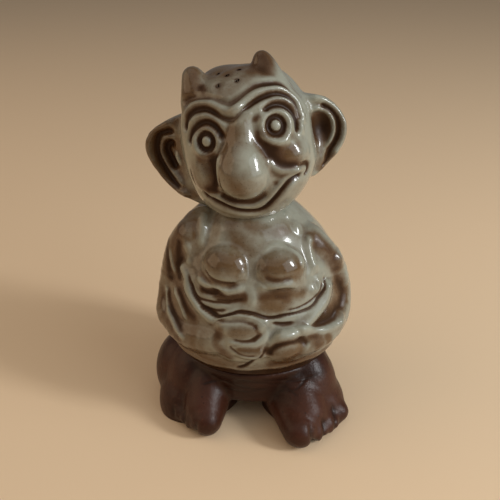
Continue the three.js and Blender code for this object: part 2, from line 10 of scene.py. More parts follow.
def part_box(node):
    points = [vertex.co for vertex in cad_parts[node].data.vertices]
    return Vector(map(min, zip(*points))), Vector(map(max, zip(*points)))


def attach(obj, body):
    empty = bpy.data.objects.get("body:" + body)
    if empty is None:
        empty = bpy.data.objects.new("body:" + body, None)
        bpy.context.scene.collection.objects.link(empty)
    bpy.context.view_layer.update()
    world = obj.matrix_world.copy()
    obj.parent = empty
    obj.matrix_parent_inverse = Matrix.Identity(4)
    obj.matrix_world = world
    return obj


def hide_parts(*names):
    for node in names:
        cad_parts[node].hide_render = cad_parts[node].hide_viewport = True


# A stoneware troll figurine, glazed down to the hips. Its pieces are made in millimetres about the body's
# axis, facing -Y with the figure's own right towards -X, and then stood in the frame, which is in metres.

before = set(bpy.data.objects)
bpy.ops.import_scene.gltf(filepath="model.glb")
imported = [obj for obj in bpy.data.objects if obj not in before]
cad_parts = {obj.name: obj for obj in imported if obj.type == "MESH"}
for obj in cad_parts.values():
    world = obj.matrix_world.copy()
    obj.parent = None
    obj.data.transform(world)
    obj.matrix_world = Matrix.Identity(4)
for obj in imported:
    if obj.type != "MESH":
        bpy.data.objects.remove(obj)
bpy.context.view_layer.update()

# Bare hips and feet
# The foot of the figure, in dark stoneware left bare so that it doesn't stick to the kiln shelf: a ring
# with a pierced floor, luted to two broad feet, wiped with a sponge while the clay was leather hard.

MM = 0.001
hip_low, hip_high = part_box("hip_ring")
stopper_low, stopper_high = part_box("stopper")
body_axis = Vector(((hip_low.x + hip_high.x) / 2, (hip_low.y + hip_high.y) / 2, 0))
ARCH = hip_low.z / MM  # height of the arch between the feet
HIP_TOP = hip_high.z / MM
HIP_RADIUS = (hip_high.x - hip_low.x) / 2 / MM
HIP_TAPER = 2.5  # the ring draws in this far towards its lower edge
HIP_FLATNESS = 0.911  # depth over width
HIP_FLOOR = 4.0  # thickness of the pierced floor
SPONGED_OFF = 0.8  # what the sponge takes from the ring's lower edge
HOLLOW_RADIUS = 17.5
FILL_HOLE_RADIUS = 7.0
WELL_ROOM = 1.0  # the feet keep this far from the stopper's way out
SOLE = (24, 32, 27)  # width, length and height, before the soles are cut flat
ANKLE = (22, 26, 33)
TOE_OUT = 34  # degrees
TOE_SWELL = 1.5  # a toe's root over its tip
RIGHT = -1
LEFT = 1


def turn_about(axis, degrees):
    return Matrix.Rotation(math.radians(degrees), 4, axis)


def ball(clay, size, place, turn=Matrix.Identity(4), fineness=4):
    """Presses one ellipsoid of clay, in millimetres, onto the heap."""
    shape = Matrix.Translation(place) @ turn @ Matrix.Diagonal((*(Vector(size) / 2), 1))
    bmesh.ops.create_icosphere(clay, subdivisions=fineness, radius=1, matrix=shape)


def piece_from(clay, name):
    mesh = bpy.data.meshes.new(name)
    clay.to_mesh(mesh)
    clay.free()
    piece = bpy.data.objects.new(name, mesh)
    bpy.context.scene.collection.objects.link(piece)
    return piece


def settle(piece):
    """Makes the piece's modifiers part of its mesh."""
    bpy.context.view_layer.update()
    shaped = piece.evaluated_get(bpy.context.evaluated_depsgraph_get())
    worked = bpy.data.meshes.new_from_object(shaped)
    piece.modifiers.clear()
    rough = piece.data
    piece.data = worked
    bpy.data.meshes.remove(rough)
    worked.name = piece.name


def lute(clay, name, grain, sponge):
    """Fuses the heap into one skin of even grain and rounds its joins with strokes of the sponge."""
    piece = piece_from(clay, name)
    fused = piece.modifiers.new("slip", "REMESH")
    fused.mode = "VOXEL"
    fused.voxel_size = grain
    wiped = piece.modifiers.new("sponge", "SMOOTH")
    wiped.factor = 0.5
    wiped.iterations = sponge
    settle(piece)
    return piece


def cut(piece, cutter):
    hollow = piece.modifiers.new("cut", "BOOLEAN")
    hollow.operation = "DIFFERENCE"
    hollow.object = cutter
    settle(piece)
    bpy.data.objects.remove(cutter)


def turned(corners, name, flatness=1.0, sides=64):
    """A closed solid spun about Z from an outline of radius and height, flattened front to back."""
    clay = bmesh.new()
    run = [clay.verts.new((radius, 0, height)) for radius, height in corners]
    edges = [clay.edges.new(pair) for pair in zip(run, run[1:])]
    bmesh.ops.spin(clay, geom=run + edges, axis=(0, 0, 1), cent=(0, 0, 0), angle=math.tau,
                   steps=sides, use_merge=True)
    bmesh.ops.remove_doubles(clay, verts=clay.verts, dist=1e-4)
    bmesh.ops.scale(clay, vec=(1, flatness, 1), verts=clay.verts)
    bmesh.ops.recalc_face_normals(clay, faces=clay.faces)
    return piece_from(clay, name)


class Tooling:
    """Marks pressed into a piece of clay, in millimetres, how the glaze gathers or thins on them, and the
    painted shade laid into hollows.
    """

    FAR = 80.0  # well outside every piece
    LINE_STEPS = 6  # points of a line from one stop to the next
    GLAZE_RUN = 6  # how many points the glaze runs before it sets
    DEEPEST = 0.05  # a hollow this deep among its neighbours is darkest: the most gathered glaze, and painted shade

    def __init__(self, piece, middle=(0, 0, 0)):
        self.mesh = piece.data
        self.middle = Vector(middle)
        self.place, self.out = self.measure()
        self.lift = np.zeros(len(self.place))
        self.pooled_and_shade = np.zeros(len(self.place))
        self.thin = np.zeros(len(self.place))
        faces = [face.vertices[:] for face in self.mesh.polygons]
        self.skin = BVHTree.FromPolygons(self.place.tolist(), faces)

    def measure(self):
        """Where the points of the skin are, and which way each of them faces."""
        place = np.empty(len(self.mesh.vertices) * 3)
        out = np.empty(len(self.mesh.vertices) * 3)
        self.mesh.vertices.foreach_get("co", place)
        self.mesh.vertex_normals.foreach_get("vector", out)
        return place.reshape(-1, 3), out.reshape(-1, 3)

    def on_skin(self, across, up, seen="round"):
        """Finds a point of the skin.

        Seen round, it is given by azimuth and elevation about the piece's middle; seen from the front, by
        x and z; seen from above, by x and y.
        """
        if seen == "front":
            start = Vector((across, -self.FAR, up))
            way = Vector((0, 1, 0))
        elif seen == "above":
            start = Vector((across, up, self.FAR))
            way = Vector((0, 0, -1))
        else:
            turn = math.radians(across)
            rise = math.radians(up)
            level = math.cos(rise)
            way = Vector((-math.sin(turn) * level, math.cos(turn) * level, -math.sin(rise)))
            start = -self.FAR * way
        return self.skin.ray_cast(self.middle + start, way)[0]

    def facing(self, spot):
        """Which way the skin faces at a spot on it."""
        return Vector(self.out[np.linalg.norm(self.place - np.array(spot), axis=1).argmin()])

    def line(self, stops, seen="round"):
        """A smooth line over the skin through the stops."""
        stops = np.array(stops, float)
        padded = np.vstack([2 * stops[0] - stops[1], stops, 2 * stops[-1] - stops[-2]])
        run = []
        for before, start, end, after in zip(padded, padded[1:], padded[2:], padded[3:]):
            pull = end - before
            ease = 2 * before - 5 * start + 4 * end - after
            swing = 3 * (start - end) + after - before
            for part in np.linspace(0, 1, self.LINE_STEPS, endpoint=False):
                run.append(start + 0.5 * part * (pull + part * (ease + part * swing)))
        run.append(stops[-1])
        found = [self.on_skin(*stop, seen) for stop in run]
        return np.array([point for point in found if point is not None])

    def near(self, line, reach):
        """The points within reach of a line: their gap to it and its ends, and their share of the way."""
        boxed = (self.place > line.min(0) - reach) & (self.place < line.max(0) + reach)
        close = np.flatnonzero(np.all(boxed, axis=1))
        runs = np.diff(line, axis=0)
        lengths = np.maximum(np.linalg.norm(runs, axis=1), 1e-6)
        offset = self.place[close, None] - line[:-1]
        part = np.clip((offset * runs).sum(2) / lengths ** 2, 0, 1)
        gap = np.linalg.norm(offset - part[..., None] * runs, axis=2)
        best = gap.argmin(1)
        rows = np.arange(len(close))
        travelled = np.concatenate([[0], np.cumsum(lengths)])
        along = travelled[best] + part[rows, best] * lengths[best]
        return close, gap[rows, best], np.minimum(along, travelled[-1] - along), along / travelled[-1]

    @staticmethod
    def changing(share, values):
        """One value or several, spread evenly over the way."""
        return np.interp(share, np.linspace(0, 1, np.size(values)), np.atleast_1d(values))

    @staticmethod
    def strength(gap, width, sharpness=2.0):
        """How strong a stroke is so far off its line: full on it, fading smoothly to the edges."""
        return np.exp(-(sharpness * gap / width) ** 2)

    def groove(self, stops, widths, depth, stains, seen="round", taper=1.5):
        """Draws a rounded tool through the clay; the glaze runs dark in the mark, and on bare clay the dark
        is painted shade.
        """
        close, gap, end, share = self.near(self.line(stops, seen), np.max(widths) * 1.4)
        width = self.changing(share, widths)
        stain_and_shade = self.changing(share, stains)
        fade = np.clip(end / taper, 0.15, 1)
        self.lift[close] -= depth * fade * self.strength(gap, width)
        run_dark = stain_and_shade * fade * self.strength(gap, width, 1.6)
        self.pooled_and_shade[close] = np.maximum(self.pooled_and_shade[close], run_dark)

    def bead(self, stops, width, height, seen="round", taper=2.0):
        """Pinches up a rounded ridge; the glaze stays thick and pale along it."""
        close, gap, end, _ = self.near(self.line(stops, seen), width * 1.3)
        mark = self.strength(gap, width) * np.clip(end / taper, 0, 1)
        self.lift[close] += height * mark
        self.thin[close] *= 1 - 0.9 * mark
        self.pooled_and_shade[close] *= 1 - 0.6 * mark

    def wash(self, stops, width, thin, stain_and_shade, seen="round"):
        """Wipes a broad soft stroke of glaze off, so that the clay shows brown or dark through it; some
        strokes lay painted shade instead.
        """
        close, gap, _, _ = self.near(self.line(stops, seen), width)
        mark = self.strength(gap, width, 1.7)
        self.thin[close] = np.maximum(self.thin[close], thin * mark)
        self.pooled_and_shade[close] = np.maximum(self.pooled_and_shade[close], stain_and_shade * mark)

    def tangent(self, spot, seen="round"):
        """Every point's offset along, up and off the skin at a spot; far off where it faces away."""
        middle = np.array(self.on_skin(*spot, seen))
        out = np.array(self.facing(middle))
        along = np.cross((0, 0, 1), out)
        along /= np.linalg.norm(along)
        offset = self.place - middle
        faces_away = self.out @ out < 0
        return offset @ along, offset @ np.cross(out, along), offset @ out + self.FAR * faces_away

    def swell(self, spot, width, height, rise, thin=0.0, stain_and_shade=0.0, seen="round"):
        """Raises or dishes an oval; the glaze can run thin over it or gather in it."""
        aside, up, off = self.tangent(spot, seen)
        oval = np.clip(1 - (2 * aside / width) ** 2 - (2 * up / height) ** 2, 0, 1)
        inside = oval * (abs(off) < max(width, height) / 2)
        self.lift += rise * inside ** 2
        self.thin = np.maximum(self.thin, thin * inside ** 0.7)
        self.pooled_and_shade = np.maximum(self.pooled_and_shade, stain_and_shade * inside)

    def finish(self):
        """Moves the clay, and darkens every hollow that the marks left, as gathered glaze and as painted
        shade.
        """
        self.mesh.vertices.foreach_set("co", (self.place + self.out * self.lift[:, None]).ravel())
        self.mesh.update()
        place, out = self.measure()
        count = len(place)
        ends = np.empty(len(self.mesh.edges) * 2, int)
        self.mesh.edges.foreach_get("vertices", ends)
        ends = ends.reshape(-1, 2)
        ends = np.concatenate([ends, ends[:, ::-1]])
        neighbours = np.maximum(np.bincount(ends[:, 0], minlength=count), 1)

        def around(values):
            return np.bincount(ends[:, 0], values[ends[:, 1]], count) / neighbours

        centre = np.stack([around(place[:, axis]) for axis in range(3)], axis=1)
        hollow = ((centre - place) * out).sum(1)
        for _ in range(self.GLAZE_RUN):
            hollow = 0.5 * hollow + 0.5 * around(hollow)
        hollow /= self.DEEPEST
        gathered = self.pooled_and_shade + np.clip(hollow, -0.1, 0.25)
        bared = self.thin - np.clip(np.abs(hollow), 0, 0.25)
        for name, values in (("pooled_and_shade", gathered), ("thin", bared)):
            layer = self.mesh.attributes.new(name, "FLOAT", "POINT")
            layer.data.foreach_set("value", np.clip(values, 0, 1).astype(np.float32))


def roll(clay, start, end, thick, thin, balls=9):
    """Rolls a tapering coil of clay between two places."""
    for step in range(balls):
        part = step / (balls - 1)
        width = thick + (thin - thick) * part
        ball(clay, (width, width, width), Vector(start).lerp(Vector(end), part), fineness=3)


def foot(clay, side, spread, advance, toes):
    """Presses a sole and an ankle, turned out, and rolls the toes on from root to tip."""
    turn = turn_about("Z", side * TOE_OUT)
    stance = Matrix.Translation((side * spread, -advance, 0)) @ turn
    for size, place in ((SOLE, (0, 0, 2)), (ANKLE, (-side, 0, 7))):
        ball(clay, size, stance @ Vector(place), turn)
    for root, tip, thickness in toes:
        roll(clay, root, (*tip, thickness / 2), thickness * TOE_SWELL, thickness)


# Toes, the big one first: root, tip on the table, and thickness at the tip.
right_toes = [((-11.5, -3, 9), (-14.3, -21.6), 9.8), ((-16.5, -8, 5), (-19.1, -19.2), 6.4),
              ((-19.5, -6, 5), (-22.7, -15.2), 6.2), ((-22.5, -2, 5), (-25.6, -9.8), 6.2)]
left_toes = [((8.5, -8, 8), (12.8, -26.6), 10), ((14, -11, 5), (18.3, -24.4), 6.4),
             ((17, -10, 5), (22, -21), 6.4), ((20, -7, 5), (25.4, -15.8), 6.6)]
clay = bmesh.new()
ring_place = Matrix.Translation((0, 0, (ARCH - SPONGED_OFF + HIP_TOP) / 2))
bmesh.ops.create_cone(clay, cap_ends=True, segments=96, radius1=HIP_RADIUS - HIP_TAPER,
                      radius2=HIP_RADIUS, depth=HIP_TOP - ARCH + SPONGED_OFF,
                      matrix=Matrix.Diagonal((1, HIP_FLATNESS, 1, 1)) @ ring_place)

# The right foot bulges on its outer side, and a shin runs down into each big toe.
foot(clay, RIGHT, spread=16.5, advance=3, toes=right_toes)
ball(clay, (23, 22, 28), (-20, 1, 7.5))
foot(clay, LEFT, spread=14.5, advance=7, toes=left_toes)
roll(clay, (-13.3, -10, 12.6), (-14.8, -17.6, 6.5), 14, 12.5)
roll(clay, (11.8, -12.6, 12.2), (15, -20.3, 6.4), 14.6, 13)
base = lute(clay, "bare_base", grain=0.42, sponge=55)

# The stopper's well, the filling hole and the hollow over the floor are cut out, and the soles cut flat.
FLOOR_TOP = ARCH + HIP_FLOOR
WELL_RADIUS = (stopper_high.x - stopper_low.x) / 2 / MM + WELL_ROOM
BELOW = -30.0
ABOVE = 60.0
well = [(0, BELOW), (WELL_RADIUS, BELOW), (WELL_RADIUS, ARCH), (FILL_HOLE_RADIUS, ARCH),
        (FILL_HOLE_RADIUS, FLOOR_TOP), (HOLLOW_RADIUS, FLOOR_TOP), (HOLLOW_RADIUS, ABOVE), (0, ABOVE)]
cut(base, turned(well, "well"))
soles = bmesh.new()
soles.from_mesh(base.data)
bmesh.ops.bisect_plane(soles, geom=soles.verts[:] + soles.edges[:] + soles.faces[:], plane_co=(0, 0, 0),
                       plane_no=(0, 0, 1), clear_inner=True)
bmesh.ops.holes_fill(soles, edges=[edge for edge in soles.edges if edge.is_boundary])
soles.to_mesh(base.data)
soles.free()


def stand(piece):
    """Puts a piece made in millimetres about the body's axis where the figure stands."""
    piece.data.transform(Matrix.Translation(body_axis) @ Matrix.Scale(MM, 4))
    piece.data.polygons.foreach_set("use_smooth", [True] * len(piece.data.polygons))


class Finish:
    """A fired surface, built up from its nodes."""

    def __init__(self, name):
        self.material = bpy.data.materials.new(name)
        self.material.use_nodes = True
        self.tree = self.material.node_tree
        self.shader = self.tree.nodes["Principled BSDF"]
        self.grain_place = self.add("ShaderNodeTexCoord").outputs["Object"]

    def add(self, kind, **settings):
        made = self.tree.nodes.new(kind)
        for name, value in settings.items():
            setattr(made, name, value)
        return made

    def feed(self, socket, value):
        if isinstance(value, bpy.types.NodeSocket):
            self.tree.links.new(value, socket)
        else:
            socket.default_value = value

    def noise(self, size, detail, roughness=0.5):
        """Clouds whose lumps are about this many millimetres across."""
        made = self.add("ShaderNodeTexNoise")
        made.inputs["Scale"].default_value = 0.6 / (size * MM)
        made.inputs["Detail"].default_value = detail
        made.inputs["Roughness"].default_value = roughness
        self.feed(made.inputs["Vector"], self.grain_place)
        return made.outputs["Fac"]

    def specks(self, size, share):
        """Round grains this many millimetres apart, each filling a share of its room."""
        made = self.add("ShaderNodeTexVoronoi")
        made.inputs["Scale"].default_value = 1 / (size * MM)
        self.feed(made.inputs["Vector"], self.grain_place)
        return self.ramp(made.outputs["Distance"], share, share * 0.5)

    def ramp(self, value, low, high, to_low=0.0, to_high=1.0):
        made = self.add("ShaderNodeMapRange", interpolation_type="SMOOTHSTEP")
        limits = {"From Min": low, "From Max": high, "To Min": to_low, "To Max": to_high}
        for name, limit in limits.items():
            made.inputs[name].default_value = limit
        self.feed(made.inputs["Value"], value)
        return made.outputs["Result"]

    def sums(self, operation, first, second):
        made = self.add("ShaderNodeMath", operation=operation)
        self.feed(made.inputs[0], first)
        self.feed(made.inputs[1], second)
        return made.outputs[0]

    def mix(self, share, under, over):
        made = self.add("ShaderNodeMix", data_type="RGBA")
        self.feed(made.inputs["Factor"], share)
        self.feed(made.inputs["A"], under)
        self.feed(made.inputs["B"], over)
        return made.outputs["Result"]

    def attribute(self, name):
        return self.add("ShaderNodeAttribute", attribute_name=name).outputs["Fac"]

    def bump(self, height, depth, below=None):
        """Raises the height, in millimetres, over what is below it."""
        made = self.add("ShaderNodeBump")
        made.inputs["Distance"].default_value = depth * MM
        self.feed(made.inputs["Height"], height)
        if below is not None:
            self.feed(made.inputs["Normal"], below)
        return made.outputs["Normal"]

    def coat(self, colour, roughness, normal):
        self.feed(self.shader.inputs["Base Color"], colour)
        self.feed(self.shader.inputs["Roughness"], roughness)
        self.feed(self.shader.inputs["Normal"], normal)


def srgb(red, green, blue):
    """A colour as an eye reads it off a swatch, 0 to 255."""
    return (*(((part / 255 + 0.055) / 1.055) ** 2.4 for part in (red, green, blue)), 1)


# Bare stoneware: red clouds in dark clay, pale grit and grains of iron, and dark where it is shaded.
DARK_CLAY = srgb(51, 26, 16)
RED_CLAY = srgb(70, 38, 25)
PALE_GRIT = srgb(88, 51, 36)
IRON_GRIT = srgb(34, 18, 12)
SHADED_CLAY = srgb(38, 20, 13)
stoneware = Finish("bare_stoneware")
clouds = stoneware.noise(9, 4)
grit = stoneware.noise(0.7, 4, 0.65)
pale_share = stoneware.sums("MULTIPLY", stoneware.ramp(grit, 0.55, 0.75), 0.5)
iron_share = stoneware.sums("MULTIPLY", stoneware.specks(2.2, 0.16), 0.7)
brown = stoneware.mix(stoneware.ramp(clouds, 0.35, 0.7), DARK_CLAY, RED_CLAY)
brown = stoneware.mix(pale_share, brown, PALE_GRIT)
brown = stoneware.mix(iron_share, brown, IRON_GRIT)
brown = stoneware.mix(stoneware.attribute("pooled_and_shade"), brown, SHADED_CLAY)
lumps = stoneware.bump(stoneware.noise(3, 3), 0.25)
stoneware.shader.inputs["Specular IOR Level"].default_value = 0.22
stoneware.coat(brown, stoneware.ramp(clouds, 0.3, 0.7, 0.27, 0.42), stoneware.bump(grit, 0.12, lumps))

# Grooves part the toes with painted shade in them, painted shade darkens the clay where the hips meet the
# legs under the belly, and fine scratches cross it.
wiped = Tooling(base)
for x, top in ((-17.4, 8), (-21.2, 7), (-24.6, 6.5), (16.6, 9), (20.3, 9), (23.9, 9)):
    stops = [(x * 0.95, top), (x, 5), (x, 2.5), (x, 0.6)]
    wiped.groove(stops, widths=2.1, depth=0.7, stains=0.6, seen="front", taper=3)
# Painted shade under the belly, across the front of the hips.
wiped.wash([(-6, 16), (0, 13), (8, 15)], width=9, thin=0, stain_and_shade=0.9, seen="front")
wiped.wash([(-18, 18.5), (0, 17.5), (19, 18)], width=4, thin=0, stain_and_shade=0.9, seen="front")
scratches = [[(-13, 17.4), (-4, 15), (3, 13.6)], [(-6, 17.8), (4, 16.4), (13, 13.4)],
             [(2, 18), (11, 16.6), (19, 17.4)], [(-16, 14.6), (-9, 16.2), (-2, 17.6)],
             [(6, 13), (12, 15), (16, 17.6)], [(-10, 13.4), (-3, 13), (4, 14.6)]]
for stops in scratches:
    wiped.groove(stops, widths=0.8, depth=0.16, stains=0.9, seen="front")
wiped.finish()
base.data.materials.append(stoneware.material)
stand(base)
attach(base, "figure")
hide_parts("hip_ring", "right_foot", "left_foot")

# Glazed torso
# A slip-cast barrel, open at the hips, with the arms and hands luted on in low relief and the chest and
# belly creases pressed in with a wooden tool, under a semi-opaque grey-white glaze.

TORSO_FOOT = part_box("torso_shell")[0].z / MM
TORSO_FLATNESS = 0.89  # depth over width
TORSO_MIDDLE = (0, 0, 36)
outline = [(23.3, 0), (25.6, 5), (26.9, 10), (27.0, 14), (26.3, 20), (25.0, 26), (23.2, 31), (20.6, 36),
           (18.2, 40), (16.2, 43), (14.4, 45.2), (12.4, 46.6), (0, 46.6)]
wall_outline = [(0, TORSO_FOOT)] + [(radius, TORSO_FOOT + rise) for radius, rise in outline]
barrel = turned(wall_outline, "barrel", TORSO_FLATNESS, 96)

# It sagged towards the figure's right below the neck, and the neck was drawn in on that side.
NECK_ASIDE = -3.5
BEND_RISE = 32.0
NECK_RISE = 45.0
NECK_DRAWN = 0.55
DRAW_RISE = 41.0
TOP_RISE = 46.6
for vert in barrel.data.vertices:
    rise = vert.co.z - TORSO_FOOT
    if vert.co.x < 0:
        vert.co.x *= 1 - NECK_DRAWN * max(0, (rise - DRAW_RISE) / (TOP_RISE - DRAW_RISE)) ** 1.3
    vert.co.x += NECK_ASIDE * max(0, (rise - BEND_RISE) / (NECK_RISE - BEND_RISE)) ** 1.5
barrel.data.update()
wall = Tooling(barrel, TORSO_MIDDLE)
clay = bmesh.new()
clay.from_mesh(barrel.data)


def pad(azimuth, elevation, size, stand_out):
    """Lays a lump on the barrel's wall so that it stands out by so much."""
    spot = wall.on_skin(azimuth, elevation)
    out = wall.facing(spot)
    turn = out.to_track_quat("-Y", "Z").to_matrix().to_4x4()
    ball(clay, size, spot + out * (stand_out - size[1] / 2), turn)


# The arms are coils sunk more than halfway into the wall; the right shoulder is hunched up.
ARM_THICKNESS = 10.5
ARM_SUNK = 2.9  # the coil's middle behind the wall
HUNCH = 1.8
HUNCH_FROM = 44.0
HUNCH_OVER = 11.0
right_arm = [(-66, 50), (-74, 41), (-79, 27), (-84, 9), (-79, -4), (-62, -11), (-42, -11), (-26, -7)]
left_arm = [(66, 50), (70, 43), (77, 28), (83, 10), (76, -3), (60, -10), (46, -11), (34, -12)]
for stops in (right_arm, left_arm):
    for stop in wall.line(stops)[::2]:
        spot = Vector(stop)
        hunched = HUNCH * min(max((spot.z - HUNCH_FROM) / HUNCH_OVER, 0), 1) * (spot.x < 0)
        place = spot + wall.facing(stop) * (hunched - ARM_SUNK)
        ball(clay, (ARM_THICKNESS, ARM_THICKNESS, ARM_THICKNESS), place, fineness=3)
pad(-66, 52, (13, 11, 15), 2.8)  # right shoulder
pad(-25, 43, (13, 10, 12), 3.4)  # right pectoral
pad(21, 42, (14, 10, 11.6), 3.4)  # left pectoral
pad(-10, -5, (18, 7, 15), 1.6)  # right hand
pad(-10, 5, (13, 6, 6.2), 2.6)  # its thumb
pad(-2, -11, (12, 7, 5.2), 2.9)  # its finger
pad(26, -11, (17, 7, 13), 1.6)  # left hand
pad(19, -9, (11, 7, 11), 3)  # its knuckle
bpy.data.objects.remove(barrel)
torso = lute(clay, "glazed_torso", grain=0.38, sponge=24)
hollow = [(0, 0), (18.5, 0), (18.5, TORSO_FOOT + 20), (12, TORSO_FOOT + 36), (0, TORSO_FOOT + 40)]
cut(torso, turned(hollow, "hollow", TORSO_FLATNESS))

# The glaze was wiped off the torso's foot, to a slightly wavy edge with a thin roll of glaze above it.
GLAZE_EDGE = 2.0  # mean height of that edge
GLAZE_ROLL = 0.45
THIN_BAND = 4.0  # the glaze is thin up to this far above the edge
body = Tooling(torso, TORSO_MIDDLE)
around = np.arctan2(body.place[:, 0], -body.place[:, 1])
waves = 0.9 * np.cos(around - 0.2) + 0.3 * np.sin(3 * around) + 0.16 * np.sin(13 * around)
above = body.place[:, 2] - TORSO_FOOT - GLAZE_EDGE - waves
low = np.clip(1 - above / THIN_BAND, 0, 1) * (body.out[:, 2] > -0.9)
body.lift += GLAZE_ROLL * np.exp(-((above - 0.7) / 0.8) ** 2) * (body.out[:, 2] > -0.7)
body.thin = 1.1 * low
body.pooled_and_shade = np.clip(GLAZE_ROLL - above, 0, 1)

# Broad strokes where the glaze is thin, some of them painted shade: stops, width, how thin, and how dark it
# runs.
for stops, width, thin, stain_and_shade in (
        # right shoulder, and painted shadow in the armpit
        ([(-64, 48), (-67, 41)], 5, 1, 0.6),
        ([(-74, 38), (-71, 29), (-71, 21)], 3, 1, 0.9),
        ([(-62, 43), (-64, 36), (-64, 31), (-62, 25)], 2.6, 1, 1),
        # collar, with painted shadow under the chin
        ([(-59, 56), (-53, 50)], 2.4, 0.8, 0),
        ([(-48, 63), (-38, 58)], 5, 0.55, 0),
        ([(-26, 63), (-16, 56), (-5, 52)], 6, 0.75, 0.1),
        ([(-7, 64), (14, 62), (33, 62)], 4.5, 0.75, 0.15),
        ([(-4, 56), (9, 55)], 5, 0.55, 0),
        # pectorals
        ([(-32, 43), (-15, 43)], 9, 1, 0.15),
        ([(-43, 34), (-29, 32), (-16, 33)], 2.5, 1, 0.35),
        ([(10, 43), (28, 41)], 8, 1, 0.1),
        ([(5, 44), (9, 38), (17, 34)], 3, 1, 0.45),
        ([(-2, 50), (-1, 40)], 3, 0.5, 0),
        # belly
        ([(-38, 26), (-27, 28)], 2.2, 1, 0.9),
        ([(-28, 25), (-19, 25), (-8, 26)], 2.6, 1, 0.75),
        ([(6, 26), (15, 27), (22, 24)], 4, 1, 0.5),
        ([(7, 21), (17, 18)], 6, 0.85, 0.15),
        ([(15, 26), (21, 25)], 2.2, 1, 0.7),
        ([(24, 29), (29, 25), (34, 25)], 3, 0.8, 0.2),
        # right forearm
        ([(-78, 9), (-74, -2)], 2.2, 1, 0.5),
        ([(-71, 9), (-62, 0), (-50, -5)], 3, 1, 0.75),
        ([(-59, 18), (-53, 12), (-44, 5)], 3, 1, 0.8),
        ([(-67, 21), (-57, 20)], 4, 1, 0.5),
        ([(-70, -4), (-60, -7), (-51, -12)], 3, 1, 0.55),
        # right hand
        ([(-41, -2), (-41, -8), (-42, -21)], 5, 0.9, 0.2),
        ([(-29, 7), (-22, 9)], 2.2, 1, 0.7),
        ([(-39, -24), (-26, -26), (-10, -27)], 6, 0.8, 0.2),
        ([(-12, 5), (-2, 6)], 4.5, 0.9, 0),
        ([(0, 8), (2, 3), (-1, -1)], 1.6, 1, 0.75),
        ([(-22, 4), (-24, -3), (-22, -9), (-17, -15)], 3, 0.9, 0.5),
        ([(-9, -7), (2, -7)], 3.4, 1, 0.3),
        # left hand
        ([(14, -10), (20, -9), (26, -11), (22, -16)], 6.5, 1, 0.35),
        ([(26, -9), (31, -16)], 4, 0.6, 0),
        ([(37, -3), (39, -7), (41, -12)], 4.6, 1, 0.6),
        ([(47, -6), (50, -13)], 2.6, 1, 0.4),
        # left arm
        ([(69, 18), (71, 8), (60, 4), (49, 2), (38, 2)], 6, 1, 0.75),
        ([(57, 50), (65, 38), (69, 28)], 4.6, 1, 0.65),
        ([(76, 11), (73, 3)], 2.2, 0.8, 0.4),
        # under the left hand
        ([(12, -25), (28, -26), (48, -28), (59, -28)], 4, 1.1, 0.5),
        ([(22, -17), (35, -14)], 5, 0.7, 0)):
    body.wash(stops, width, thin, stain_and_shade)

# Painted shade: the glaze is coloured gradually browner towards the figure's right side, away from the
# window.
RIGHT_SIDE_SHADE_SPAN = 22.0
body.thin = np.maximum(body.thin, 0.8 * np.clip(-body.place[:, 0] / RIGHT_SIDE_SHADE_SPAN, 0, 1))

# Ridges: stops, width and height.
for stops, width, height in (
        # upper edges of the forearms and the right hand
        ([(-64, 34), (-54, 29), (-50, 22), (-41, 15), (-33, 10), (-27, 8), (-20, 12), (-13, 14), (-3, 13),
          (3, 9), (5, 3)], 3, 1.2),
        ([(58, 26), (53, 16), (44, 10), (34, 4), (22, 1), (12, 2)], 4, 1.4),
        # round the pectorals and down the middle of the belly
        ([(-46, 32), (-37, 30), (-28, 31), (-23, 30), (-19, 29), (-13, 31), (-7, 33)], 2.2, 1),
        ([(0, 34), (6, 33), (12, 33), (18, 33), (25, 32), (34, 29)], 2.4, 1),
        ([(-3, 34), (-2, 25), (-3, 18)], 2.6, 0.4),
        ([(5, 50), (14, 54), (26, 53), (35, 46), (35, 38)], 1.8, 0.5),
        # right forearm and hand
        ([(-75, 14), (-70, 2), (-57, -4), (-45, -9)], 1.7, 0.8),
        ([(-66, 17), (-55, 10), (-48, 0)], 1.7, 0.8),
        ([(-69, 38), (-68, 30), (-67, 24)], 1.1, 0.5),
        ([(-18, -5), (-9, -4), (0, -4), (6, 0), (6, 6), (1, 11)], 2.4, 0.6),
        # left wrist and armpit
        ([(25, 3), (40, -2), (50, -4), (63, -4)], 2.6, 1.0),
        ([(48, 32), (48, 25), (45, 20)], 1.3, 0.5),
        # front edges of the shoulders
        ([(-55, 47), (-57, 40), (-54, 34)], 2.6, 0.8),
        ([(57, 54), (51, 49), (48, 41), (49, 33)], 2.6, 1.0),
        ([(-60, 62), (-50, 55), (-48, 47)], 2.2, 0.6)):
    body.bead(stops, width, height)
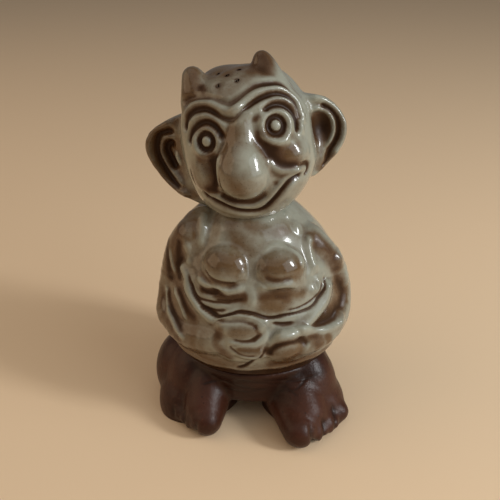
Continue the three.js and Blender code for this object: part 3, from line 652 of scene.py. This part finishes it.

# Tool marks: stops, width, depth, and how dark the glaze runs in them; under the pectorals the dark is also
# painted shade.
for stops, width, depth, stain_and_shade in (
        # belly creases
        ([(-53, 32), (-48, 26), (-41, 20), (-31, 20), (-22, 21), (-14, 22)], 0.9, 0.35, 0.55),
        ([(-50, 28), (-44, 21), (-36, 16), (-27, 15), (-18, 17)], 0.9, 0.4, (0.5, 0.8, 0.5)),
        ([(-40, 16), (-33, 14), (-24, 12), (-16, 15), (-10, 17), (-1, 16), (7, 13), (13, 12.4), (20, 13),
          (29, 13), (39, 14), (46, 18), (52, 22), (56, 29)],
         (0.8, 1.3, 0.8, 0.9, 0.8, 1, 0.7, 0.7, 0.8, 0.6), 0.6,
         (0.8, 1, 0.95, 0.9, 0.8, 0.85, 0.6, 0.5, 0.8, 0.4)),
        ([(-38, 25), (-31, 25), (-25, 27)], 1, 0.4, 0.7),
        ([(-30, 22), (-17, 23), (-7, 25)], 1, 0.35, 0.55),
        ([(53, 27), (47, 21), (40, 18), (29, 16), (20, 16)], 0.8, 0.3, 0.5),
        ([(10, 9), (15, 8), (20, 7), (27, 7)], (0.7, 1.1, 0.7), 0.4, 0.7),
        # thumb and finger of the right hand
        ([(-27, 8), (-17, 10), (-9, 11), (-1, 9), (2, 5)], 0.9, 0.4, (0.1, 0.25, 0.5)),
        ([(-15, -1), (-8, -2), (-1, -1), (1, 2)], 0.9, 0.4, (0.3, 0.5, 0.7)),
        ([(-9, -4), (-15, -6), (-12, -9), (-5, -10.5), (2, -10)], 0.8, 0.35, (0.3, 0.5, 0.6)),
        # between the hands, and round the left hand's knuckle
        ([(7, -5), (6, -8), (3, -13), (-6, -25), (-15, -29)], 1.1, 0.5, 0.75),
        ([(8.5, -14), (9, -9), (12.5, -4.5), (18, -2.5), (24, -3), (29, -4.5), (34, -9)], 2.4, 0.7,
         (0.8, 0.9, 0.8, 0.7, 0.7, 0.4)),
        # under the pectorals, with painted shade in the recess
        ([(-40, 38), (-36, 36), (-32, 34), (-26, 33), (-19, 33), (-12, 34)], 1.7, 0.5, 0.45),
        ([(5, 39), (10, 36), (17, 35), (26, 35)], 1.7, 0.5, 0.4)):
    body.groove(stops, width, depth, stain_and_shade)

# Small lumps that catch the light, and the right elbow.
small_lumps = [((-9, 39), 4), ((34, 33), 4), ((72, 31), 5), ((76, 16), 5), ((62, -3), 6), ((43, 24), 3),
               ((51, 60), 4.5), ((48, 68), 3)]
for spot, size in small_lumps:
    body.swell(spot, size, size * 1.3, 0.13 * size)
body.swell((-84, -12), width=18, height=16, rise=1.3)
body.finish()

# Glaze: grey-white where it is thick, brown where it is thin, dark where it ran into the marks, with specks
# of iron that show most where it is thin. The brown and the dark also lay painted shade in the armpit,
# under the chin and the pectorals, beside the nose and down the figure's right side.
THICK_GLAZE = srgb(149, 149, 135)
THIN_GLAZE_AND_SHADE = srgb(95, 72, 46)
RUN_GLAZE = srgb(84, 58, 36)
POOLED_GLAZE_AND_SHADE = srgb(42, 25, 14)
IRON_SPECK = srgb(54, 37, 25)
glaze = Finish("grey_white_glaze")
drift = glaze.noise(6, 4)
fine = glaze.noise(1.1, 4, 0.6)
thinness_and_shade = glaze.sums("ADD", glaze.attribute("thin"), glaze.ramp(drift, 0.28, 0.75, 0, 0.45))
thinness_and_shade = glaze.sums("ADD", thinness_and_shade, glaze.ramp(fine, 0.2, 0.8, -0.1, 0.1))
pools_and_shade = glaze.sums("ADD", glaze.attribute("pooled_and_shade"), glaze.ramp(fine, 0.2, 0.8, -0.06, 0.06))
milky = glaze.mix(glaze.ramp(thinness_and_shade, -0.1, 1.2), THICK_GLAZE, THIN_GLAZE_AND_SHADE)
milky = glaze.mix(glaze.ramp(pools_and_shade, 0, 0.75), milky, RUN_GLAZE)
milky = glaze.mix(glaze.ramp(pools_and_shade, 0.3, 1.2), milky, POOLED_GLAZE_AND_SHADE)
for spacing, share in ((1.3, 0.14), (0.5, 0.24)):
    iron = glaze.sums("MULTIPLY", glaze.specks(spacing, share), glaze.ramp(thinness_and_shade, 0.2, 0.9, 0.05, 0.7))
    milky = glaze.mix(iron, milky, IRON_SPECK)
dulled = glaze.ramp(pools_and_shade, 0.35, 0.9, 0, 0.25)
glaze.feed(glaze.shader.inputs["Specular IOR Level"], glaze.ramp(pools_and_shade, 0.35, 0.9, 0.5, 0.12))
glaze.coat(milky, glaze.sums("ADD", glaze.ramp(fine, 0.3, 0.7, 0.08, 0.16), dulled),
           glaze.bump(glaze.noise(2.5, 2), 0.08))

torso.data.materials.append(glaze.material)
stand(torso)
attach(torso, "figure")
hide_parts("torso_shell", "right_pectoral", "left_pectoral", "right_arm", "left_arm")

# Glazed head
# A head luted over the neck and leaning to the figure's right, with ears and horns pressed on, a
# pear-shaped nose, ringed eyes, arched brows and a wide grin tooled into the clay before glazing.

HEAD_MIDDLE = Vector((-1.6, -2, 83.55))
HEAD_TURN = -3
HEAD_LEAN = -13
HEAD_NOD = -8
SKULL = (17.75, 17.0, 20.25)  # half its width, depth and height
SQUARENESS = 2.5  # 2 would be an ellipsoid
JAW_TOP = -6.0
JAW_HEIGHT = 14.0
JAW_DRAWN = 0.28  # how much narrower it is at the left of the chin
head_tilt = turn_about("Z", HEAD_TURN) @ turn_about("Y", HEAD_LEAN) @ turn_about("X", HEAD_NOD)
clay = bmesh.new()
bmesh.ops.create_icosphere(clay, subdivisions=6, radius=1)
for vert in clay.verts:
    way = vert.co.copy()
    fullness = sum(abs(part) ** SQUARENESS for part in way) ** (-1 / SQUARENESS)
    vert.co = Vector([part * half for part, half in zip(way, SKULL)]) * fullness
    if vert.co.x > 0 and vert.co.z < JAW_TOP:
        vert.co.x *= 1 - JAW_DRAWN * ((JAW_TOP - vert.co.z) / JAW_HEIGHT) ** 1.5

# The nose is a row of balls, narrow at the bridge and full at the tip.
NOSE_TOP = -9.0  # measured downwards
NOSE_TIP = 5.2
for drop in np.linspace(NOSE_TOP, NOSE_TIP, 16):
    width = np.interp(drop, (NOSE_TOP, -4, -0.5, 2, 4, NOSE_TIP), (5.5, 7.4, 9.2, 11.6, 13.2, 13.4))
    proud = np.interp(drop, (NOSE_TOP, -4, 0, 3, NOSE_TIP), (0.2, 1.4, 2.7, 4.8, 5.6))
    ball(clay, (width, width, width), (-0.15 * drop - 0.3, width / 2 - SKULL[1] - proud, 0.5 - drop))

# Each ear is a plate cut to its outline, swept back, and each horn a tapering coil.
EAR_THICKNESS = 5.0
EAR_SWEEP = 0.25  # how far back for each millimetre out
EAR_ROOT = 17.0  # from the head's middle to where the sweep starts
right_ear = [(-12, 11.5), (-17.8, 10.8), (-21.6, 9.8), (-25, 8.7), (-26.8, 7.9), (-28.6, 5.6), (-29.3, 3.8),
             (-29.3, 1.5), (-28.6, -1.5), (-27.1, -5), (-25, -8.3), (-22, -11.2), (-18.4, -13.6),
             (-15, -15.6), (-10, -15)]
left_ear = [(11, 10.5), (16.3, 9.6), (19.7, 8.3), (22, 7.2), (24, 5.1), (25.4, 2.6), (26.2, -0.3),
            (26, -2.7), (25, -5.2), (23.3, -7.3), (21, -9.2), (18.5, -11.1), (15.5, -12.7), (10, -12)]
for edge in (right_ear, left_ear):
    rim = [clay.verts.new((x, EAR_SWEEP * (abs(x) - EAR_ROOT), z)) for x, z in edge]
    plate = bmesh.ops.extrude_face_region(clay, geom=[clay.faces.new(rim)])
    back = [part for part in plate["geom"] if isinstance(part, bmesh.types.BMVert)]
    bmesh.ops.translate(clay, vec=(0, EAR_THICKNESS, 0), verts=back)
bmesh.ops.recalc_face_normals(clay, faces=clay.faces)
roll(clay, (-9.2, -4.5, 12.5), (-10, -5, 20), 11.8, 5.8)
roll(clay, (8.6, -3.2, 12), (8.1, -3, 20.4), 13.4, 5)
head = lute(clay, "glazed_head", grain=0.36, sponge=36)

# The pour holes are drilled into the crown, and the glaze has sunk a little round each.
CROWN = 20.0
HOLE_RADIUS = 0.46
HOLE_TIP_RADIUS = 0.42
DRILL_LENGTH = 14.0
POUR_HOLES = [(-0.8, -8), (-3.4, -5.4), (1.6, -10.6), (-3.2, -10.8), (2.2, -6)]
drills = bmesh.new()
for across, back in POUR_HOLES:
    bmesh.ops.create_cone(drills, cap_ends=True, segments=12, radius1=HOLE_TIP_RADIUS, radius2=HOLE_RADIUS,
                          depth=DRILL_LENGTH, matrix=Matrix.Translation((across, back, CROWN)))
cut(head, piece_from(drills, "drills"))
face = Tooling(head)
for across, back in POUR_HOLES:
    gap = np.hypot(face.place[:, 0] - across, face.place[:, 1] - back)
    gap += Tooling.FAR * (face.place[:, 2] < CROWN / 2)
    face.pooled_and_shade = np.maximum(face.pooled_and_shade, 0.4 * np.exp(-(gap / 1.1) ** 2))
    face.lift -= 0.3 * np.exp(-(gap / 1.3) ** 2)

# The crown, the temples and the cheeks, then a low swelling left of the nose and a hollow right of it.
face.swell((-5, 3), width=18, height=16, rise=1.0, seen="above")
face.swell((80, 42), width=17, height=17, rise=-1.2)
face.swell((-84, 32), width=14, height=12, rise=-0.9)
face.swell((-42, -12), width=10, height=12, rise=1.0, thin=0.7)
face.swell((46, -10), width=10, height=9, rise=1.1)
# The swelling and the hollow beside the nose are also tinted brown and darkened: thin glaze, with painted
# shade.
face.swell((32, -7), width=12, height=12, rise=0.5, thin=1, stain_and_shade=0.3)
face.swell((-28, -9), width=7, height=13, rise=-0.9, thin=0.9, stain_and_shade=0.15)

# Broad strokes where the glaze is thin, some of them painted shade: stops, width, how thin, and how dark it
# runs.
for stops, width, thin, stain_and_shade in (
        # nose
        ([(-4, 18), (-10, 8), (-12, -3), (-11, -11), (-7, -18)], 7, 0.85, 0),
        ([(-2, -12), (2, -18)], 6, 0.6, 0),
        # beside the nose, painted shade in the hollows there
        ([(-37, 2), (-30, 3)], 3, 1, 0.4),
        ([(-25, 2), (-26, -7), (-26, -15), (-31, -22), (-37, -23)], 3.6, 1, 0.95),
        ([(-34, -3), (-30, -10), (-32, -17)], 6, 0.9, 0.2),
        ([(20, 8), (23, -1), (26, -11), (31, -17), (37, -18)], 4.4, 1, 1),
        ([(24, 4), (30, -4), (36, -12)], 7, 1, 0.25),
        # chin and forehead
        ([(-45, -38), (-34, -45), (-19, -52), (-2, -56)], 3.4, 0.4, 0),
        ([(-50, 50), (-25, 52), (0, 48)], 6, 0.7, 0),
        # horns
        ([(-53, 62), (-52, 57), (-51, 53), (-53, 48)], 6, 1.2, 0.5),
        ([(-52, 63), (-48, 59)], 3, 1, 0.55),
        ([(-41, 55), (-34, 52)], 2.4, 1, 0.75),
        ([(60, 66), (52, 65), (37, 63)], 5.5, 1.2, 0.55),
        ([(59, 64), (56, 61), (48, 59)], 5, 1.2, 0.8),
        # crown, and a spot by the left eye
        ([(-38, 79), (35, 79)], 14, 1.1, 0),
        ([(-12, 66), (1, 58), (15, 60)], 8, 0.7, 0),
        ([(16, 25), (19, 25)], 1.5, 0.6, 0.45)):
    face.wash(stops, width, thin, stain_and_shade)

# Each eye is a raised ring, a dark moat and a low round pupil.
PUPIL = 1.2  # radius of each
MOAT = 1.95
RING = 3.5
PUPIL_RELIEF = 0.3
RING_RELIEF = 0.7
MOAT_DEPTH = 0.7
for spot, size in (((-29, 15), 1.0), ((31, 16), 1.04)):
    aside, up, off = face.tangent(spot)
    radius = np.hypot(aside, up * 0.95) / size + 10 * (abs(off) > 5)
    moat = np.exp(-((radius - MOAT) / 0.75) ** 4)
    face.lift += RING_RELIEF * np.exp(-((radius - RING) / 0.9) ** 2)
    face.lift += PUPIL_RELIEF * np.exp(-(radius / PUPIL) ** 4) - MOAT_DEPTH * moat
    face.pooled_and_shade = np.maximum(face.pooled_and_shade, 1.1 * moat)
    face.thin *= 1 - 0.8 * np.exp(-(radius / 1.3) ** 4)

# Ridges: stops, width and height.
for stops, width, height in (
        # fold over both brows, and the brows under it
        ([(-52, 29), (-50, 36), (-44, 41), (-34, 43), (-23, 43), (-14, 39), (-5, 35), (2, 36), (9, 39),
          (18, 42), (28, 43), (37, 42), (47, 40), (54, 35), (59, 27), (60, 19), (58, 10)], 2.4, 0.6),
        ([(-44, 25), (-39, 31), (-34, 33), (-26, 34), (-18, 31), (-13, 26), (-7, 22)], 2.1, 0.6),
        ([(7, 25), (14, 31), (22, 33), (29, 34), (38, 34), (46, 31), (52, 25), (54, 17), (53, 8), (50, 3)],
         2.1, 0.6),
        # under the left eye
        ([(16, 15), (19, 10), (26, 5), (36, 2), (47, 1)], 2.2, 0.4),
        # upper and lower lip
        ([(-44, -25), (-34, -30), (-25, -37), (-13, -42), (-2, -44), (9, -41), (18, -36), (26, -30),
          (34, -25), (41, -22), (49, -22)], 2.4, 0.8),
        ([(-47, -33), (-38, -40), (-30, -46), (-19, -53), (-4, -57), (12, -54), (24, -45), (34, -36),
          (45, -31)], 3, 0.3),
        # from the nose to the cheeks
        ([(-16, 6), (-20, -3), (-23, -12), (-25, -20), (-30, -26)], 1.7, 0.7),
        ([(18, -5), (19, -10), (22, -15), (28, -19), (37, -20), (47, -21)], 2.1, 0.7)):
    face.bead(stops, width, height)

# Tool marks: stops, width, depth, and how dark the glaze runs in them.
for stops, width, depth, stain_and_shade in (
        # over and under the fold of the forehead
        ([(-60, 41), (-54, 45), (-46, 47), (-30, 47), (-18, 45), (-5, 41), (5, 43), (15, 46), (27, 48),
          (42, 46), (53, 43), (61, 36), (66, 29), (61, 17)], (2, 2, 2, 2, 2.1, 2.2, 1.8, 1.6), 0.7,
         (0.25, 0.35, 0.35, 0.35, 0.4, 0.8, 0.7, 0.3, 0.2)),
        ([(-52, 22), (-50, 32), (-41, 38), (-29, 39), (-20, 36), (-13, 31.5), (-4, 28.5), (3, 30), (10, 34),
          (18, 37), (28, 38.5), (40, 38), (50, 34), (55, 28), (55, 19), (55, 11)],
         (1.8, 2.2, 2.3, 1.8, 1.5, 1.7, 2, 1.9, 1.6, 1.4), 1.0,
         (0.7, 0.95, 0.95, 0.8, 0.35, 0.2, 0.75, 0.95, 0.8, 0.4, 0.3)),
        # over the eyes
        ([(-48, 12), (-44, 21), (-36, 26.5), (-27, 29), (-19, 25.5), (-15, 18), (-14, 13)],
         (1.4, 2.1, 2.3, 2.1, 1.5), 1.1, (0.6, 0.95, 0.95, 0.9, 0.7)),
        ([(23, 26), (28, 29.5), (35, 30.5), (43, 28.5), (49, 23), (51, 16), (49.5, 10), (48, 4)],
         (1.4, 2.3, 2.5, 2.4, 2, 1.6, 1.3), 1.1, (0.5, 0.95, 0.95, 0.9, 0.7)),
        # over the upper lip
        ([(-30, -26), (-24, -33.5), (-13, -39), (-2, -41), (8, -38), (15, -33.5)], (1.5, 2, 1.8, 1.6), 0.7,
         (0.7, 0.75, 0.55, 0.3)),
        ([(18, -32), (22, -28.5), (26, -25)], (1.2, 1.8, 1), 0.25, (0.2, 0.4, 0.45)),
        # mouth, and the corner that turns up on the left
        ([(-50, -26), (-40, -31), (-32, -37), (-26, -43), (-18, -48.5), (-8, -52), (2, -52.5), (11, -49.5),
          (20, -42), (28, -34), (34, -29), (42, -27), (49, -27.5)],
         (1.8, 2.2, 2, 1.9, 1.7, 1.9, 2.1, 1.8), 1.1, (0.95, 0.95, 0.9, 0.85, 0.85, 0.9, 0.9, 0.7)),
        ([(50, -30), (55, -27), (56, -22), (52, -18.8), (46, -18), (40, -17.6)],
         (1.2, 1.5, 1.6, 1.5, 1.2), 0.8, (0.5, 0.7, 0.6, 0.3))):
    face.groove(stops, width, depth, stain_and_shade)

# The ears are dished, with a rolled rim, a fold inside it and a dark hollow between the two.
face.swell((-23.5, 0), width=14, height=25, rise=-1.6, thin=1, stain_and_shade=0.45, seen="front")
face.swell((20, 0), width=8, height=12, rise=-1.4, thin=1, stain_and_shade=0.75, seen="front")
face.swell((20.5, -1), width=12, height=19, rise=-0.5, thin=0.8, seen="front")
right_rim = [(-19, 9.8), (-22, 8.9), (-25, 7.7), (-27.3, 5.4), (-28, 2.7), (-27.6, -0.3), (-26.6, -3.3),
             (-25.2, -6.2), (-22.5, -9.3), (-19, -11.5)]
for stops, width, height in (
        (right_rim, 2.0, 1.0),
        ([(-19.7, 5), (-21.9, 5.6), (-23.7, 4.6), (-25, 2.2), (-24.7, -0.1), (-23.7, -3.2), (-22, -6),
          (-20.7, -9.1)], 1.6, 1.0),
        ([(-20.9, 1.6), (-20.8, -0.4), (-20.4, -3.3)], 1.6, 0.8),
        ([(17.5, 8.4), (20.5, 7.2), (22.9, 5), (24.4, 2.9), (25.3, 0.2), (25.1, -2.5), (24, -4.8),
          (22.3, -6.8), (20.6, -8.7)], 1.8, 0.9),
        ([(17.6, 5), (20.1, 4.9), (22, 3.4), (22.9, 0.9), (22.6, -1.8), (21.4, -4), (19.8, -5.8)], 1.3,
         0.9)):
    face.bead(stops, width, height, seen="front")
right_fold = [(-21, 6), (-25, 2.2), (-23.7, -3.2), (-20.7, -9.1)]
face.wash(right_rim, width=5, thin=0.95, stain_and_shade=0.15, seen="front")
face.wash(right_fold, width=4, thin=0.75, stain_and_shade=0.1, seen="front")
face.wash([(20.4, -8), (18, -11)], width=3.4, thin=1, stain_and_shade=0.6, seen="front")
for stops, width, depth, stain_and_shade in (
        ([(-19.2, 6.7), (-21.5, 7), (-24, 6.9), (-25.5, 4.9), (-26.2, 2.4), (-26.1, -0.5), (-25.1, -3.8),
          (-23.8, -6.6), (-21.5, -9.6)], 2.0, 0.9, 0.75),
        ([(-20.1, 3.4), (-22.5, 3.5), (-23.5, 2), (-23.2, -0.3), (-22.6, -2.4), (-21.9, -4.3)], 2.6, 1.3,
         1),
        ([(19.9, 6.1), (21.8, 4.8), (23.4, 3.1), (24.3, 0.7), (24, -2.2), (22.8, -4.4), (21.1, -6.2),
          (19.9, -8.1), (19.1, -9.8), (17.4, -11.1)], 1.9, 0.9, 0.7)):
    face.groove(stops, width, depth, stain_and_shade, seen="front")
face.finish()
head.data.transform(Matrix.Translation(HEAD_MIDDLE) @ head_tilt)
head.data.materials.append(glaze.material)
stand(head)
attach(head, "figure")
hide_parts("head_shell", "right_ear", "left_ear", "right_horn", "left_horn", "nose", "right_eye",
            "left_eye", "right_cheek", "left_cheek", "right_brow", "left_brow", "forehead_fold",
            "upper_lip", "lower_lip")

# Stopper
# A soft moulded rubber plug, pushed up into the filling hole under the hips. Its flange sits back in the
# arch, clear of the table, so that the figure still stands on its feet.

plug = [(0, 0.7), (2.6, 0.7), (3.2, 0.1), (7.8, 0), (8.3, 0.2), (8.5, 0.6), (8.5, 1.2), (8.3, 1.6),
        (7.8, 1.8), (6.8, 1.8), (6.75, 2.8), (6.45, 3), (6.45, 3.5), (6.6, 3.7), (6.5, 4.9), (6.2, 5.1),
        (6.2, 5.6), (6.3, 5.8), (6, 8.8), (5.7, 9.4), (5, 9.7), (0, 9.7)]
stopper = turned([(radius, stopper_low.z / MM + rise) for radius, rise in plug], "rubber_stopper")

# Rubber: pale, with a duller bloom in soft clouds.
PALE_RUBBER = srgb(196, 188, 172)
BLOOMED_RUBBER = srgb(174, 164, 146)
rubber = Finish("moulded_rubber")
bloom = rubber.noise(4, 4, 0.6)
clouded = rubber.mix(rubber.ramp(bloom, 0.3, 0.75), PALE_RUBBER, BLOOMED_RUBBER)
rubber.coat(clouded, rubber.ramp(bloom, 0.3, 0.7, 0.5, 0.65), rubber.bump(rubber.noise(0.5, 3), 0.03))
stopper.data.materials.append(rubber.material)
stand(stopper)
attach(stopper, "stopper")
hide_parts("stopper")

# Table, light and camera
# A plain pale table top under soft studio light: a small bright window and a broad cool panel on the
# camera's right, a warm panel on its left and a broad one overhead. The camera looks down from in front.

TABLE_SIZE = 4.0  # metres
TABLE_COLOUR = (0.86, 0.63, 0.41, 1)
STUDIO_COLOUR = (0.85, 0.82, 0.78, 1)
LIT_MIDDLE = (0, 0, 55)
bpy.ops.mesh.primitive_plane_add(size=TABLE_SIZE, location=(0, 0, 0))
table = bpy.context.object
table.name = "table"
table_top = bpy.data.materials.new("pale_table")
table_top.use_nodes = True
table_shader = table_top.node_tree.nodes["Principled BSDF"]
table_shader.inputs["Base Color"].default_value = TABLE_COLOUR
table_shader.inputs["Roughness"].default_value = 0.6
table.data.materials.append(table_top)

scene = bpy.context.scene
scene.view_settings.view_transform = "Standard"
scene.world = scene.world or bpy.data.worlds.new("studio")
scene.world.use_nodes = True
studio = scene.world.node_tree.nodes["Background"]
studio.inputs["Color"].default_value = STUDIO_COLOUR
studio.inputs["Strength"].default_value = 0.2
lit_middle = body_axis + Vector(LIT_MIDDLE) * MM


def panel(name, place, width, height, watts, colour):
    """Hangs a lit panel, in metres from the middle of the figure, facing it."""
    lamp = bpy.data.lights.new(name, "AREA")
    lamp.shape = "RECTANGLE"
    lamp.size, lamp.size_y = width, height
    lamp.energy = watts
    lamp.color = colour
    holder = bpy.data.objects.new(name, lamp)
    holder.location = lit_middle + Vector(place)
    holder.rotation_euler = (-Vector(place)).to_track_quat("-Z", "Y").to_euler()
    scene.collection.objects.link(holder)


panel("window", (0.5, -0.22, 0.28), 0.09, 0.2, 1.9, (0.95, 0.98, 1))
panel("side", (0.75, -0.45, 0.4), 0.8, 0.8, 3.3, (0.84, 0.95, 1))
panel("warm", (-0.65, -0.1, 0.28), 0.7, 0.5, 1.2, (1, 0.72, 0.45))
panel("overhead", (-0.1, -0.25, 0.8), 1.2, 1.2, 2, (1, 0.94, 0.85))

SENSOR = 36.0
FOCAL_SHARE = 1.4  # focal length over the picture's width
LOOKS_DOWN = 27  # degrees
CAMERA_DISTANCE = 205.0
CAMERA_AIM = (-1.4, 0, 50)
camera = bpy.data.cameras.new("photo_view")
camera.sensor_fit = "HORIZONTAL"
camera.sensor_width = SENSOR
camera.lens = SENSOR * FOCAL_SHARE
photo_view = bpy.data.objects.new("photo_view", camera)
tilt = math.radians(LOOKS_DOWN)
aim = body_axis + Vector(CAMERA_AIM) * MM
photo_view.location = aim + Vector((0, -math.cos(tilt), math.sin(tilt))) * CAMERA_DISTANCE * MM
photo_view.rotation_euler = (math.radians(90) - tilt, 0, 0)
scene.collection.objects.link(photo_view)
scene.camera = photo_view
